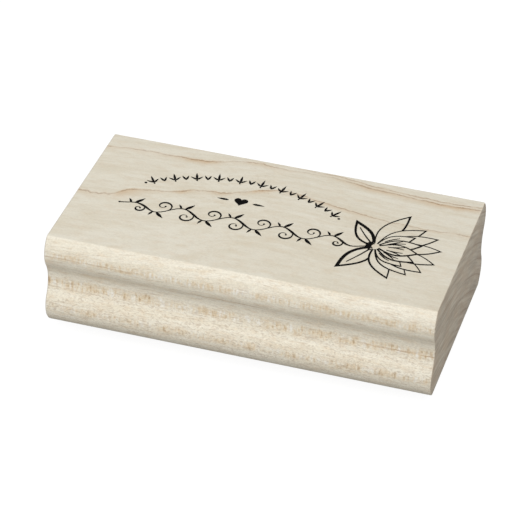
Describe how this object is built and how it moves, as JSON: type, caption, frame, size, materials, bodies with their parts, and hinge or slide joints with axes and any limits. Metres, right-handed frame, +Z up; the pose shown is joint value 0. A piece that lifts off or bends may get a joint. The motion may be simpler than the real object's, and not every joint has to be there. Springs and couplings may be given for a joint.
{
  "type": "rubber stamp",
  "caption": "Wood-mounted rubber stamp: moulded maple block with finger grooves, the design printed on its top face, and a foam-backed engraved rubber die below.",
  "frame": {"origin": "centre of the block's outline, on the plane of the printing face that the stamp stands on", "axes": "+X along the grain, towards the flower; +Y across the block, away from the user; +Z up, from the printing face to the printed top"},
  "size_m": [0.0762, 0.0418, 0.0233],
  "materials": {
    "maple": "unfinished sanded maple",
    "ink": "matt black printing ink",
    "adhesive": "glossy pressure-sensitive film",
    "foam": "closed-cell foam",
    "rubber": "matt laser-engraved rubber"
  },
  "bodies": {
    "root": {"wood_block": "maple", "index_flower": "ink", "index_garland": "ink", "index_vine": "ink", "block_film": "adhesive", "foam_cushion": "foam", "die_film": "adhesive", "rubber_die": "rubber"}
  },
  "joints": []
}
